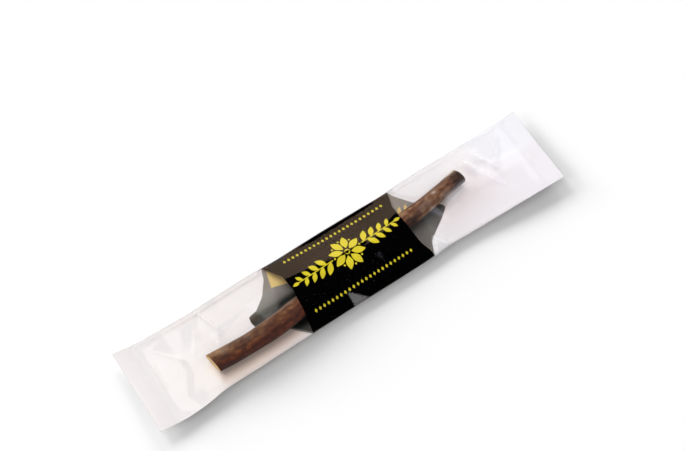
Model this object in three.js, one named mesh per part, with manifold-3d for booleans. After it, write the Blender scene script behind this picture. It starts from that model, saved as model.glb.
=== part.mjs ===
// A dried licorice root stick, sealed in a clear flow-wrap sachet with a dark printed band round its middle.
// Frame in millimetres: +X along the sachet, +Y across it, +Z up, origin under its middle on the resting plane.
import * as THREE from "three";
import { mergeVertices } from "three/addons/utils/BufferGeometryUtils.js";
import Module from "manifold-3d";

const wasm = await Module();
wasm.setup();

// Sachet: outer length, seals across the ends, and the heights of its side folds and wall.
const SACHET_HALF_LENGTH = 95;
const END_SEAL = 10;
const FILM_WALL = 0.2;
const FOLD_HEIGHT = 2.2;
const FOLD_RISE_WIDTH = 5;
const SEAL_LINE = SACHET_HALF_LENGTH - END_SEAL;

// Fin seal: the two long edges of the film, welded together and laid flat along the back wall.
const SEAM_Y = 1;
const FIN_WIDTH = 5;
const FIN_HALF_LENGTH = 80;

// Vent: a narrow channel left unwelded in one end seal.
const VENT_WIDTH = 2.5;
const VENT_Y = 9;

// Printed band: half lengths at the middle of the front and at the back seam, and how the edge curves between.
const BAND_FRONT_HALF = 25.5;
const BAND_SEAM_HALF = 45;
const BAND_EDGE_POWER = 2.2;
const BAND_WALL = 0.15;

// Clearances between the nested layers.
const LAYER_GAP = 0.15;
const FLOOR_GAP = 0.1;

// The two side folds of the sachet, seen from above: [x, y of the -Y fold, y of the +Y fold].
const SIDE_FOLDS = [
  [-95, -16.0, 17.8],
  [-88, -17.2, 16.6],
  [-77, -17.85, 16.0],
  [-66, -16.2, 15.8],
  [-50, -15.8, 16.2],
  [-30, -15.3, 16.7],
  [0, -15.1, 16.9],
  [29, -15.8, 16.9],
  [45, -14.9, 17.1],
  [62, -14.8, 17.2],
  [79, -15.5, 17.0],
  [95, -15.9, 17.85],
];

// The root: [x, y of its axis, radius, rise of the axis above lying flat].
const ROOT_AXIS = [
  [-65.5, -5.5, 3.85, 0.1],
  [-58, -6.2, 3.85, 0.0],
  [-50, -6.4, 3.75, 0.05],
  [-40, -6.0, 3.85, 0.1],
  [-28, -4.9, 3.8, 0.05],
  [-12, -2.8, 3.7, 0.0],
  [3, -0.8, 3.75, 0.05],
  [18, 1.2, 3.65, 0.1],
  [32.6, 3.0, 3.6, 0.05],
  [45.4, 4.3, 3.6, 0.05],
  [57.8, 6.1, 3.5, 0.0],
];
const ROOT_START = ROOT_AXIS[0][0];
const ROOT_END = ROOT_AXIS.at(-1)[0];
const ROOT_SIDES = 18;
const ROOT_STEPS = 36;
// Slant of each sawn end: how far the cut runs along the root for each millimetre across it.
const START_SLANT = -0.2;
const END_SLANT = -0.12;
const SLANT_REACH = 8;

// Heights that stack up from the resting plane under the root.
const BAND_FLOOR = 2 * FILM_WALL + FLOOR_GAP;
const ROOT_FLOOR = BAND_FLOOR + BAND_WALL + LAYER_GAP;
// How far the film's outside stands off the root.
const BARK_RELIEF = 0.15;
const FILM_STANDOFF = BARK_RELIEF + 2 * LAYER_GAP + BAND_WALL + FILM_WALL;

// Mesh steps.
const SLOPE_STEPS = 3;
const ARC_STEPS = 6;
const RISE_STEPS = 3;
const FLAT_STEPS = 6;
const BAND_STEPS = 16;

const lerp = THREE.MathUtils.lerp;

// A smooth curve through rows of [x, value, value, ...]: gives the values at any x.
function along(rows) {
  const xs = rows.map((row) => row[0]);
  const values = rows.flatMap((row) => row.slice(1));
  const curve = new THREE.CubicInterpolant(xs, values, rows[0].length - 1);
  return (x) => Array.from(curve.evaluate(THREE.MathUtils.clamp(x, xs[0], xs.at(-1))));
}

const sideFolds = along(SIDE_FOLDS);
const rootAxis = along(ROOT_AXIS);

// Where the tangent from a point touches a circle, on the upper side; side is -1 for a point left of the circle.
function upperTangent(point, centre, radius, side) {
  const toCentre = centre.clone().sub(point);
  const reach = Math.sqrt(Math.max(toCentre.lengthSq() - radius * radius, 0));
  const angle = toCentre.angle() - side * Math.asin(Math.min(radius / toCentre.length(), 1));
  return point.clone().add(new THREE.Vector2(Math.cos(angle), Math.sin(angle)).multiplyScalar(reach));
}

// The round form that holds the film up at x: the root, and beyond its ends a ridge that sinks to the end seal.
function tentPole(x) {
  const nearest = THREE.MathUtils.clamp(x, ROOT_START, ROOT_END);
  const [y, radius, rise] = rootAxis(nearest);
  const end = x < ROOT_START ? ROOT_START : ROOT_END;
  const toSeal = x === nearest ? 0 : Math.min(Math.abs(x - end) / (SEAL_LINE - Math.abs(end)), 1);
  const topZ = lerp(ROOT_FLOOR + rise + 2 * radius + FILM_STANDOFF, 2 * FILM_WALL, toSeal);
  const outer = lerp(radius + FILM_STANDOFF, FILM_WALL, Math.min(toSeal * 1.2, 1));
  return { y: lerp(y, SEAM_Y, toSeal), radius: outer, z: topZ - outer, toSeal };
}

// One cross-section of the sachet at x, as a closed ring of [y, z] that runs along the floor and back over the top.
// inset moves it inside the film's outer face, floor is its lowest height and edge is half its height at the folds.
function sachetSection(x, { inset, floor, edge }) {
  const [foldLow, foldHigh] = sideFolds(x);
  const pole = tentPole(x);
  const foldZ = lerp(FOLD_HEIGHT, FILM_WALL, pole.toSeal ** 2);
  const margin = 3.5 * inset;
  const left = foldLow + margin;
  const right = foldHigh - margin;
  const ring = [];
  const lowest = Math.min(floor, foldZ - edge);

  for (let i = 0; i < RISE_STEPS; i++) {
    const t = i / RISE_STEPS;
    ring.push([left + t * FOLD_RISE_WIDTH, lerp(lowest, foldZ - edge, (1 - t) ** 2)]);
  }
  for (let i = 0; i <= FLAT_STEPS; i++) {
    ring.push([lerp(left + FOLD_RISE_WIDTH, right - FOLD_RISE_WIDTH, i / FLAT_STEPS), lowest]);
  }
  for (let i = 1; i <= RISE_STEPS; i++) {
    const t = i / RISE_STEPS;
    ring.push([right - (1 - t) * FOLD_RISE_WIDTH, lerp(lowest, foldZ - edge, t ** 2)]);
  }

  const centre = new THREE.Vector2(pole.y, pole.z);
  const radius = Math.max(pole.radius - inset, edge);
  const foldRight = new THREE.Vector2(right, foldZ + edge);
  const foldLeft = new THREE.Vector2(left, foldZ + edge);
  const touchRight = upperTangent(foldRight, centre, radius, 1);
  const touchLeft = upperTangent(foldLeft, centre, radius, -1);
  const from = touchRight.clone().sub(centre).angle();
  const to = touchLeft.clone().sub(centre).angle();
  for (let i = 0; i < SLOPE_STEPS; i++) {
    ring.push(foldRight.clone().lerp(touchRight, i / SLOPE_STEPS).toArray());
  }
  for (let i = 0; i <= ARC_STEPS; i++) {
    const angle = lerp(from, to, i / ARC_STEPS);
    ring.push([centre.x + radius * Math.cos(angle), centre.y + radius * Math.sin(angle)]);
  }
  for (let i = 1; i <= SLOPE_STEPS; i++) {
    ring.push(touchLeft.clone().lerp(foldLeft, i / SLOPE_STEPS).toArray());
  }
  return ring;
}

// Joins rings of THREE.Vector3 into a skin: each ring closes on itself, and flip turns the faces round.
function skin(rings, flip) {
  const positions = [];
  const around = rings[0].length;
  for (let i = 0; i + 1 < rings.length; i++) {
    for (let j = 0; j < around; j++) {
      const k = (j + 1) % around;
      const quad = [rings[i][j], rings[i][k], rings[i + 1][k], rings[i + 1][j]];
      const corners = flip ? [0, 2, 1, 0, 3, 2] : [0, 1, 2, 0, 2, 3];
      corners.forEach((c) => positions.push(...quad[c].toArray()));
    }
  }
  return positions;
}

// Closes a ring with a fan from its middle.
function cap(ring, flip) {
  const middle = ring.reduce((sum, p) => sum.add(p), new THREE.Vector3()).divideScalar(ring.length);
  return ring.flatMap((point, j) => {
    const next = ring[(j + 1) % ring.length];
    const corners = flip ? [middle, next, point] : [middle, point, next];
    return corners.flatMap((c) => c.toArray());
  });
}

function geometryOf(positions) {
  const loose = new THREE.BufferGeometry();
  loose.setAttribute("position", new THREE.Float32BufferAttribute(positions, 3));
  return mergeVertices(loose, 1e-4);
}

// A closed loft through rings that run from low x to high x.
function loft(rings) {
  return geometryOf([...skin(rings, false), ...cap(rings[0], true), ...cap(rings.at(-1), false)]);
}

function toSolid(geometry) {
  const mesh = new wasm.Mesh({
    numProp: 3,
    vertProperties: new Float32Array(geometry.attributes.position.array),
    triVerts: new Uint32Array(geometry.index.array),
  });
  return new wasm.Manifold(mesh);
}

function fromSolid(solid) {
  const mesh = solid.getMesh();
  const geometry = new THREE.BufferGeometry();
  geometry.setAttribute("position", new THREE.BufferAttribute(mesh.vertProperties, 3));
  geometry.setIndex(new THREE.BufferAttribute(mesh.triVerts, 1));
  return geometry;
}

function box(minX, maxX, minY, maxY, minZ, maxZ) {
  const block = new THREE.BoxGeometry(maxX - minX, maxY - minY, maxZ - minZ);
  block.translate((minX + maxX) / 2, (minY + maxY) / 2, (minZ + maxZ) / 2);
  block.deleteAttribute("normal");
  block.deleteAttribute("uv");
  return toSolid(mergeVertices(block));
}

// Stations along x from start to end, with the given x values always among them.
function stations(start, end, step, ...fixed) {
  const marks = [start, ...fixed.filter((x) => x > start && x < end).sort((a, b) => a - b), end];
  return marks.flatMap((mark, i) => {
    if (i === marks.length - 1) return [mark];
    const count = Math.max(1, Math.round((marks[i + 1] - mark) / step));
    return Array.from({ length: count }, (_, k) => lerp(mark, marks[i + 1], k / count));
  });
}

const ringAt = (x, layer) => sachetSection(x, layer).map(([y, z]) => new THREE.Vector3(x, y, z));

// The film: an outer form, less its air space and vent, with the welded fin doubling the back wall.
function filmGeometry() {
  const outside = { inset: 0, floor: 0, edge: FILM_WALL };
  const inside = { inset: FILM_WALL, floor: FILM_WALL, edge: 0.03 };
  const airEnd = SEAL_LINE - 1.2;
  const marks = [-SEAL_LINE, ROOT_START, ROOT_END, SEAL_LINE];
  const outer = stations(-SACHET_HALF_LENGTH, SACHET_HALF_LENGTH, 4.2, ...marks).map((x) => ringAt(x, outside));
  const air = stations(-airEnd, airEnd, 4.2, ROOT_START, ROOT_END).map((x) => ringAt(x, inside));
  const finEdges = [SEAM_Y - FIN_WIDTH / 2, SEAM_Y + FIN_WIDTH / 2];
  const fin = box(-FIN_HALF_LENGTH, FIN_HALF_LENGTH, ...finEdges, FILM_WALL / 2, 2 * FILM_WALL);
  const vent = box(airEnd - 1, SACHET_HALF_LENGTH + 1, VENT_Y, VENT_Y + VENT_WIDTH, 0.5 * FILM_WALL, 1.5 * FILM_WALL);
  return fromSolid(toSolid(loft(outer)).subtract(toSolid(loft(air))).add(fin).subtract(vent));
}

// How far from the middle of the front each point of a section lies along the film: 0 there and 1 at the back seam.
function webPositions(layer) {
  const ring = sachetSection(0, layer);
  const [foldLow, foldHigh] = sideFolds(0);
  const half = (foldHigh - foldLow) / 2;
  const floorPoints = 2 * RISE_STEPS + FLAT_STEPS + 1;
  return ring.map(([y], j) => {
    const across = Math.min(Math.abs(y - SEAM_Y) / half, 1) / 2;
    return j < floorPoints ? 1 - across : across;
  });
}

// The band: an open sleeve whose ends follow the print's curved edge.
function bandGeometry() {
  const outside = { inset: FILM_WALL + LAYER_GAP, floor: BAND_FLOOR, edge: 0.12 };
  const inside = { inset: FILM_WALL + LAYER_GAP + BAND_WALL, floor: BAND_FLOOR + BAND_WALL, edge: 0.04 };
  const reach = webPositions(outside).map((s) => lerp(BAND_FRONT_HALF, BAND_SEAM_HALF, s ** BAND_EDGE_POWER));
  const sleeve = (layer) =>
    Array.from({ length: BAND_STEPS + 1 }, (_, i) =>
      reach.map((half, j) => {
        const x = lerp(-half, half, i / BAND_STEPS);
        return new THREE.Vector3(x, ...sachetSection(x, layer)[j]);
      }),
    );
  const outer = sleeve(outside);
  const inner = sleeve(inside);
  return geometryOf([
    ...skin(outer, false),
    ...skin(inner, true),
    ...skin([outer[0], inner[0]], true),
    ...skin([outer.at(-1), inner.at(-1)], false),
  ]);
}

// The root: rings round its crooked axis, slightly oval and uneven, with a sawn face at each end.
function rootGeometry() {
  const rings = stations(ROOT_START, ROOT_END, (ROOT_END - ROOT_START) / ROOT_STEPS).map((x) => {
    const [y, radius, rise] = rootAxis(x);
    const z = ROOT_FLOOR + radius + rise;
    const fromStart = Math.max(0, 1 - (x - ROOT_START) / SLANT_REACH);
    const fromEnd = Math.max(0, 1 - (ROOT_END - x) / SLANT_REACH);
    return Array.from({ length: ROOT_SIDES }, (_, j) => {
      const turn = (j / ROOT_SIDES) * 2 * Math.PI;
      const oval = 0.012 * Math.cos(2 * turn + x / 30) + 0.01 * Math.cos(3 * turn - x / 14);
      const knot = 0.012 * Math.cos(5 * turn + x / 6) * Math.sin(x / 9);
      const r = radius * (1 + oval + knot);
      const across = r * Math.cos(turn);
      const slant = across * (START_SLANT * fromStart + END_SLANT * fromEnd);
      return new THREE.Vector3(x + slant, y + across, z + r * Math.sin(turn));
    });
  });
  return loft(rings);
}

function part(name, geometry, look) {
  const mesh = new THREE.Mesh(geometry, new THREE.MeshStandardMaterial(look));
  mesh.name = name;
  return mesh;
}

const sachet = new THREE.Group();
sachet.add(
  part("licorice_root", rootGeometry(), { color: 0x6a4029, roughness: 0.85, metalness: 0 }),
  part("printed_band", bandGeometry(), { color: 0x0d0c0c, roughness: 0.25, metalness: 0 }),
  part("film_wrapper", filmGeometry(), {
    color: 0xf2f4f4,
    roughness: 0.12,
    metalness: 0,
    transparent: true,
    opacity: 0.25,
  }),
);

export default sachet;
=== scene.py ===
import math
import bpy
import numpy as np
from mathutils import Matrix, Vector, geometry, noise


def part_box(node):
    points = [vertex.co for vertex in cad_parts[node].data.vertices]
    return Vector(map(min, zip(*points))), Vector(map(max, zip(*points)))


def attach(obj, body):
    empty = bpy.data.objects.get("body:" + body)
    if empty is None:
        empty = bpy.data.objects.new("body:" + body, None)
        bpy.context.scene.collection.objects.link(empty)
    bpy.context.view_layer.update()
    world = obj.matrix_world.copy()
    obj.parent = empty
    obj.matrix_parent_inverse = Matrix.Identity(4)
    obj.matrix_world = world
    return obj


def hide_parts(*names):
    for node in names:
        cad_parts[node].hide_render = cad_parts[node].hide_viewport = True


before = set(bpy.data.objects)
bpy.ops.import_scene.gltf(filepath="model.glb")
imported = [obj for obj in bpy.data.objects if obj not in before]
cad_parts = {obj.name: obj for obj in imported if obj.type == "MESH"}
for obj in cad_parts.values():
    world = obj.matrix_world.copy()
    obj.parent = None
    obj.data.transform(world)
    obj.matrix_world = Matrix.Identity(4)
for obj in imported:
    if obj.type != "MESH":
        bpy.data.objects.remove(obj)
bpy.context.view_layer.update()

# Every length below is in millimetres; meshes are scaled to metres as they are made.
MM = 0.001


# ---- Camera ----

# Where the camera stands, its turn in degrees and the length of its lens.
CAMERA_AT = (-119.1, -100.8, 441.9)
CAMERA_TURN = (20.58, -5.12, -34.17)
CAMERA_LENS = 63.0
SENSOR_WIDTH = 36.0


def add_camera():
    """Looks down on the sachet from beyond its first end, with its length rising across the view."""
    data = bpy.data.cameras.new("camera")
    data.sensor_width = SENSOR_WIDTH
    data.lens = CAMERA_LENS
    data.clip_start = 0.01
    camera = bpy.data.objects.new("camera", data)
    camera.location = Vector(CAMERA_AT) * MM
    camera.rotation_euler = [math.radians(angle) for angle in CAMERA_TURN]
    bpy.context.scene.collection.objects.link(camera)
    bpy.context.scene.camera = camera


# ---- Small helpers for curves, meshes and materials ----


def smooth_curve(rows):
    """A function that runs smoothly through rows of [x, value, ...] and gives the values at any x."""
    table = np.array(rows, float)
    xs, values = table[:, 0], table[:, 1:]
    slopes = np.gradient(values, xs, axis=0)

    def at(x):
        x = np.clip(np.asarray(x, float), xs[0], xs[-1])
        i = np.clip(np.searchsorted(xs, x, side="right") - 1, 0, len(xs) - 2)
        step = (xs[i + 1] - xs[i])[..., None]
        t = (x - xs[i])[..., None] / step
        rise = (2 * t**3 - 3 * t**2 + 1) * values[i] + (3 * t**2 - 2 * t**3) * values[i + 1]
        lean = (t**3 - 2 * t**2 + t) * slopes[i] + (t**3 - t**2) * slopes[i + 1]
        return np.moveaxis(rise + lean * step, -1, 0)

    return at


def ease(t):
    """0 below 0, 1 above 1, and smooth between."""
    t = np.clip(t, 0, 1)
    return t * t * (3 - 2 * t)


def mix(a, b, t):
    """a at t = 0, b at t = 1, and in proportion between."""
    return a + (b - a) * t


def mesh_piece(name, grids, materials):
    """An object made of grids, each (points[i, j], around, caps): around joins each row's last point to its
    first, and caps closes the first and last rows with one face each."""
    vertices, faces = [], []
    for points, around, caps in grids:
        rows, columns = points.shape[:2]
        number = np.arange(rows * columns).reshape(rows, columns) + len(vertices)
        if around:
            number = np.concatenate([number, number[:, :1]], axis=1)
        quads = np.stack([number[:-1, :-1], number[:-1, 1:], number[1:, 1:], number[1:, :-1]], axis=-1)
        faces += quads.reshape(-1, 4).tolist()
        if caps:
            faces += [number[0, :-1][::-1].tolist(), number[-1, :-1].tolist()]
        vertices += (points.reshape(-1, 3) * MM).tolist()
    mesh = bpy.data.meshes.new(name)
    mesh.from_pydata(vertices, [], faces)
    mesh.validate()
    mesh.shade_smooth()
    for material in materials:
        mesh.materials.append(material)
    piece = bpy.data.objects.new(name, mesh)
    bpy.context.scene.collection.objects.link(piece)
    return piece


def set_attribute(piece, name, values):
    """Stores one number for each vertex."""
    attribute = piece.data.attributes.new(name, "FLOAT", "POINT")
    attribute.data.foreach_set("value", np.asarray(values, np.float32).ravel())


def colour(code):
    """An sRGB hex colour as linear RGBA."""
    channels = [int(code[i : i + 2], 16) / 255 for i in (1, 3, 5)]
    linear = [c / 12.92 if c <= 0.04045 else ((c + 0.055) / 1.055) ** 2.4 for c in channels]
    return (*linear, 1.0)


WHITE = (1, 1, 1, 1)


def new_material(name):
    """An empty material and its node tree."""
    material = bpy.data.materials.new(name)
    material.use_nodes = True
    material.node_tree.nodes.clear()
    return material, material.node_tree


def add(tree, kind, inputs=None, **settings):
    """Adds a node with its settings. inputs maps a socket's name or number to a value, or to what feeds it: a
    socket, a node for its first output in use, or a list of either. A mix takes its share at 0, and numbers
    at 2 and 3 or colours at 6 and 7."""
    made = tree.nodes.new(kind)
    for key, value in settings.items():
        setattr(made, key, value)
    for key, value in (inputs or {}).items():
        for source in value if isinstance(value, list) else [value]:
            if isinstance(source, bpy.types.Node):
                source = next(socket for socket in source.outputs if socket.enabled)
            if isinstance(source, bpy.types.NodeSocket):
                tree.links.new(source, made.inputs[key])
            else:
                made.inputs[key].default_value = source
    return made


def geometry_group(name, inputs):
    """A geometry node tree with named inputs, given as (name, socket type, value), and their sockets."""
    tree = bpy.data.node_groups.new(name, "GeometryNodeTree")
    tree.interface.new_socket("Geometry", in_out="INPUT", socket_type="NodeSocketGeometry")
    tree.interface.new_socket("Geometry", in_out="OUTPUT", socket_type="NodeSocketGeometry")
    for key, kind, value in inputs:
        socket = tree.interface.new_socket(key, in_out="INPUT", socket_type=kind)
        if value is not None:
            socket.default_value = value
    return tree, tree.nodes.new("NodeGroupInput").outputs


def grown(piece, tree, values):
    """Runs a geometry node tree on a piece with the inputs given, and keeps the result as its mesh."""
    modifier = piece.modifiers.new(tree.name, "NODES")
    modifier.node_group = tree
    for item in tree.interface.items_tree:
        if item.in_out == "INPUT" and item.name in values:
            modifier[item.identifier] = values[item.name]
    ready = piece.evaluated_get(bpy.context.evaluated_depsgraph_get())
    mesh = bpy.data.meshes.new_from_object(ready)
    piece.modifiers.remove(modifier)
    piece.data = mesh
    return piece


def fill_ramp(node, stops):
    """Sets a colour ramp's stops from (place, hex colour) pairs."""
    ramp = node.color_ramp
    while len(ramp.elements) < len(stops):
        ramp.elements.new(0.5)
    for element, (place, code) in zip(ramp.elements, stops):
        element.position = place
        element.color = colour(code)
    return node


# ---- Shape of the sachet and the root ----

HALF_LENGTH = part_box("film_wrapper")[1].x / MM
END_SEAL = 10.0
SEAL_LINE = HALF_LENGTH - END_SEAL
# The second end is cut a little short of the plain solid's.
SHORT_CUT = 1.2

# The side folds: the height of their middles, how far in the back wall starts to rise to them, and the radius
# that the film bends round. In the welds they are pressed almost flat.
LOW_FOLD_HEIGHT, HIGH_FOLD_HEIGHT = 2.3, 1.3
LOW_RISE_WIDTH, HIGH_RISE_WIDTH = 5.0, 2.6
FOLD_BEND = 0.42
WELD_FOLD_HEIGHT = 0.16
WELD_BEND = 0.1
WELD_TOP = 0.26

# The film's wall, a little thicker than the real 0.04 mm, and the fin of the back seam.
FILM = 0.05
SEAM_Y = 1.0
FIN_WIDTH = 5.0
FIN_BULGE = 0.12
FIN_UNDERSIDE = 0.055

# Ribs pressed into the welds.
RIB_PITCH = 1.1
RIB_HEIGHT = 0.02

# How high the ends of the sachet curl up.
FIRST_END_LIFT = 3.4
SECOND_END_LIFT = 3.8

# Turns round the film tube, from 0 to 1: the back wall with the seam in its middle, the +Y fold, the front
# wall, then the -Y fold.
HALF_WALL = 0.235
HIGH_FOLD_TURN = 0.47
HIGH_FOLD_MIDDLE = 0.485
FRONT_TURN = 0.5
LOW_FOLD_TURN = 0.97
FOLD_SPAN = 0.03

# The two side folds seen from above: [x, y of the -Y fold, y of the +Y fold].
SIDE_FOLDS = smooth_curve([
    [-95, -16.8, 17.75], [-88, -17.6, 16.85], [-80, -17.75, 16.5], [-76, -17.6, 16.4],
    [-67, -16.6, 16.3], [-50, -16.4, 16.7], [-35, -16.2, 16.95], [-24, -16.15, 16.65],
    [-14, -16.1, 16.85], [0, -16.1, 17.05], [16, -16.1, 17.0], [28, -15.95, 16.9],
    [38, -15.3, 17.45], [47, -15.6, 17.55], [62, -16.05, 17.45], [79, -16.45, 17.1],
    [95, -16.85, 17.8],
])

# The root: [x, y of its axis, radius, rise of the axis above lying flat].
ROOT_ROWS = [
    [-65.9, -5.8, 4.0, 0.1],
    [-58, -6.35, 3.95, 0.0],
    [-50, -6.55, 3.85, 0.05],
    [-40, -6.25, 4.1, 0.05],
    [-28, -5.2, 4.1, 0.0],
    [-12, -2.8, 3.7, 0.0],
    [3, -0.8, 3.75, 0.05],
    [18, 1.2, 3.65, 0.1],
    [31, 2.6, 3.5, 0.15],
    [39, 3.5, 3.3, 0.5],
    [46.4, 4.55, 3.25, 0.9],
    [52.0, 5.45, 3.25, 1.1],
    [56.9, 6.15, 3.25, 1.3],
]
ROOT_AXIS = smooth_curve(ROOT_ROWS)
ROOT_START = ROOT_ROWS[0][0]
ROOT_END = ROOT_ROWS[-1][0]
ROOT_FLOOR = 0.5
# The gap that the film and the print keep over the root.
STANDOFF = 0.4

# The saw cuts' slants across the root, and how far in from each end the slant dies away.
START_SLANT, END_SLANT = -0.2, -0.33
SLANT_REACH = 8.0

# Heights of the bark's long furrows, of its finer wrinkles and of its slow lumps.
FURROW_DEPTH, WRINKLE_DEPTH, LUMP_DEPTH = 0.16, 0.07, 0.18

# Pale places where the bark has rubbed off: [x, y, width, strength].
RUBBED_SPOTS = [
    [43.3, 5.2, 0.6, 0.6], [38.5, 3.1, 1.2, 0.14], [36.0, 2.6, 1.4, 0.12], [47.0, 2.6, 1.0, 0.1],
    [-60.5, -4.2, 1.5, 0.12], [-50.0, -4.5, 1.2, 0.1],
]

# Dents and ridges in the handled film, as [x, y, height off the taut film], with flat facets between.
CRUMPLE_POINTS = [
    [-84.8, 13, 0.0], [-76, 13.4, -0.1], [-73, -13.4, 0.2], [-69, 11.5, 0.4], [-68.5, 4.5, -0.5],
    [-60.4, 14.6, 0.1], [-64, 9, -0.45], [-57.5, 5.4, 0.6], [-54, 10, -0.4], [-60.3, -0.6, 0.1],
    [-46, 14, 0.2], [-44, 6, 0.35], [-37, 12, -0.2], [-50, -13, 0.3], [-38, -12, -0.2],
    [-18, -11, 0.05], [-10, -15.2, 0.1], [-9.4, -10.2, 0.0], [-3.6, -15.2, 0.25], [12, -9, 0.03],
    [24, -10, 0.0], [36, 12, 0.3], [34, -12, 0.3], [44, -9, -0.3], [50, -12.5, 0.3], [52, 13, -0.2],
    [58, -5, -0.4], [62.6, 10.8, 0.1], [64.4, 4.1, 0.5], [66.5, 9.3, -0.5], [69.5, 5, -0.8],
    [71, -4.3, -0.9], [64, -9.5, 0.4], [76, 13.6, 0.3], [73, 1.4, -0.5], [80, 12, 0.6], [84, -6, 0.4],
    [79, -1, -0.3], [77, -12.4, 0.2], [86, -13, 0.2], [90, 4, 0.1],
]
# Points just outside the sachet, where the dents have run out.
CRUMPLE_EDGE = [[x, y, 0.0] for x in np.linspace(-100, 100, 17) for y in (-20.0, 20.0)]

# Ridges where trapped air holds the film up, as [x, y, height]: round a broad facet by the first end, along
# the printed band beside the root, and low beside the +Y fold.
RIDGE_POINTS = [
    [-84.9, -14.5, 0.45], [-84.9, 9.5, 0.45], [-82.3, 11.3, 1.3],
    [-74.5, 2.2, 3.8], [-72.8, -5, 4.2], [-79.7, -12.8, 2.1],
    [-31, 7.2, 7.2], [-25.5, 6.8, 7.7], [-20, 6.1, 7.95], [-15.3, 5.5, 8.1], [-9, 4.5, 8.3], [-2.8, 3.4, 8.5],
    [4.5, 2.4, 8.6], [12.2, 1.5, 8.6], [20.8, 3.3, 8.6], [26, 5.4, 8.3], [32, 7.9, 7.4],
    [-14, 14.8, 2.15], [-6, 13.4, 2.3], [3, 12.8, 2.35], [12, 12.9, 2.35], [21, 14.5, 2.15],
]

# Painted highlights along the film's sharp creases, laid on as white haze: [x, y, x, y, half width, how
# white].
CREASE_HIGHLIGHTS = [
    [-60.4, 15.4, -57.5, 5.4, 0.49, 0.36], [-57.5, 5.4, -60.3, -0.6, 0.56, 0.22],
    [-64.6, 10.0, -70.1, 1.1, 0.7, 0.11], [-82.6, 11.4, -74.5, 2.2, 0.56, 0.14],
    [-84.6, 5.8, -84.9, -3.5, 0.7, 0.18], [62.6, 9.9, 64.4, 4.1, 1.05, 0.25],
    [64.4, 4.1, 71.5, -6.0, 1.05, 0.14], [67.5, 12.5, 73.0, 1.4, 1.05, 0.18],
    [80.0, 12.0, 73.0, 1.4, 1.26, 0.14], [31.4, -15.4, 33.6, -9.8, 0.7, 0.43],
    [33.6, -9.8, 37.0, -13.5, 0.63, 0.29],
]


def faceted(points):
    """A surface of flat facets through points of [x, y, height], as a function of x and y."""
    rows = np.array(points, float)
    corners = [Vector(row[:2]) for row in rows]
    found = geometry.delaunay_2d_cdt(corners, [], [], 0, 1e-4)
    places, triangles, sources = found[0], found[2], found[3]
    heights = np.array([rows[source[0], 2] for source in sources])
    flat = np.array([place[:] for place in places])

    def at(x, y):
        result = np.zeros(np.broadcast(x, y).shape)
        for triangle in triangles:
            a, b, c = flat[list(triangle)]
            area = (b[0] - a[0]) * (c[1] - a[1]) - (c[0] - a[0]) * (b[1] - a[1])
            u = ((x - a[0]) * (c[1] - a[1]) - (c[0] - a[0]) * (y - a[1])) / area
            v = ((b[0] - a[0]) * (y - a[1]) - (x - a[0]) * (b[1] - a[1])) / area
            inside = (u >= -1e-6) & (v >= -1e-6) & (u + v <= 1 + 1e-6)
            ha, hb, hc = heights[list(triangle)]
            result = np.where(inside, ha + u * (hb - ha) + v * (hc - ha), result)
        return result

    return at


def tent_pole(x):
    """The round form that holds the film up at x: centre y and z, radius, share of the way to the seal."""
    nearest = np.clip(x, ROOT_START, ROOT_END)
    y, radius, rise = ROOT_AXIS(nearest)
    end = np.where(x < 0, ROOT_START, ROOT_END)
    to_seal = np.clip(np.abs(x - nearest) / (SEAL_LINE - np.abs(end)), 0, 1)
    top = mix(ROOT_FLOOR + rise + 2 * radius + STANDOFF, WELD_TOP, to_seal)
    outer = mix(radius + STANDOFF, WELD_BEND, np.clip(to_seal * 1.2, 0, 1))
    return mix(y, SEAM_Y, to_seal), top - outer, outer, to_seal


def end_lift(x, y):
    """How far the flat ends of the sachet curl up off the surface they lie on."""
    across = (y + 16) / 34
    first = ease((-x - 60) / 34) * (FIRST_END_LIFT - 0.9 * across + 0.3 * np.sin(across * 7))
    second = ease((x - 51) / 36) * (SECOND_END_LIFT - 0.5 * across + 0.3 * np.sin(across * 6 + 1))
    return first + second


def fold_line(x):
    """Heights of the -Y and +Y folds' middles, and the radius that the film bends round there."""
    to_seal = tent_pole(x)[3]
    down = ease(to_seal)
    low = mix(LOW_FOLD_HEIGHT, WELD_FOLD_HEIGHT, down)
    high = mix(HIGH_FOLD_HEIGHT, WELD_FOLD_HEIGHT, down)
    return low, high, mix(FOLD_BEND, WELD_BEND, ease(to_seal * 1.1))


def taut_wall(x, y):
    """Height of the front wall as a taut sheet from the side folds over the root."""
    low, high = SIDE_FOLDS(x)
    low_height, high_height, bend = fold_line(x)
    pole_y, pole_z, radius = tent_pole(x)[:3]
    result = pole_z + np.sqrt(np.clip(radius**2 - (y - pole_y) ** 2, 0, None))
    for fold, height, side in ((low + bend, low_height, 1), (high - bend, high_height, -1)):
        run = (pole_y - fold) * side
        rise = pole_z - height - bend
        reach = np.hypot(run, rise)
        angle = np.arctan2(rise, run) + np.arcsin(np.clip(radius / reach, 0, 1))
        length = np.sqrt(np.clip(reach**2 - radius**2, 0, None))
        touch = fold + side * length * np.cos(angle)
        line = height + bend + (y - fold) * side * np.tan(angle)
        result = np.where((y - touch) * side < 0, line, result)
    return result


RIDGES = [[x, y, z - float(taut_wall(np.array(x), np.array(y)))] for x, y, z in RIDGE_POINTS]
CRUMPLE = faceted(CRUMPLE_POINTS + RIDGES + CRUMPLE_EDGE)


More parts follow.
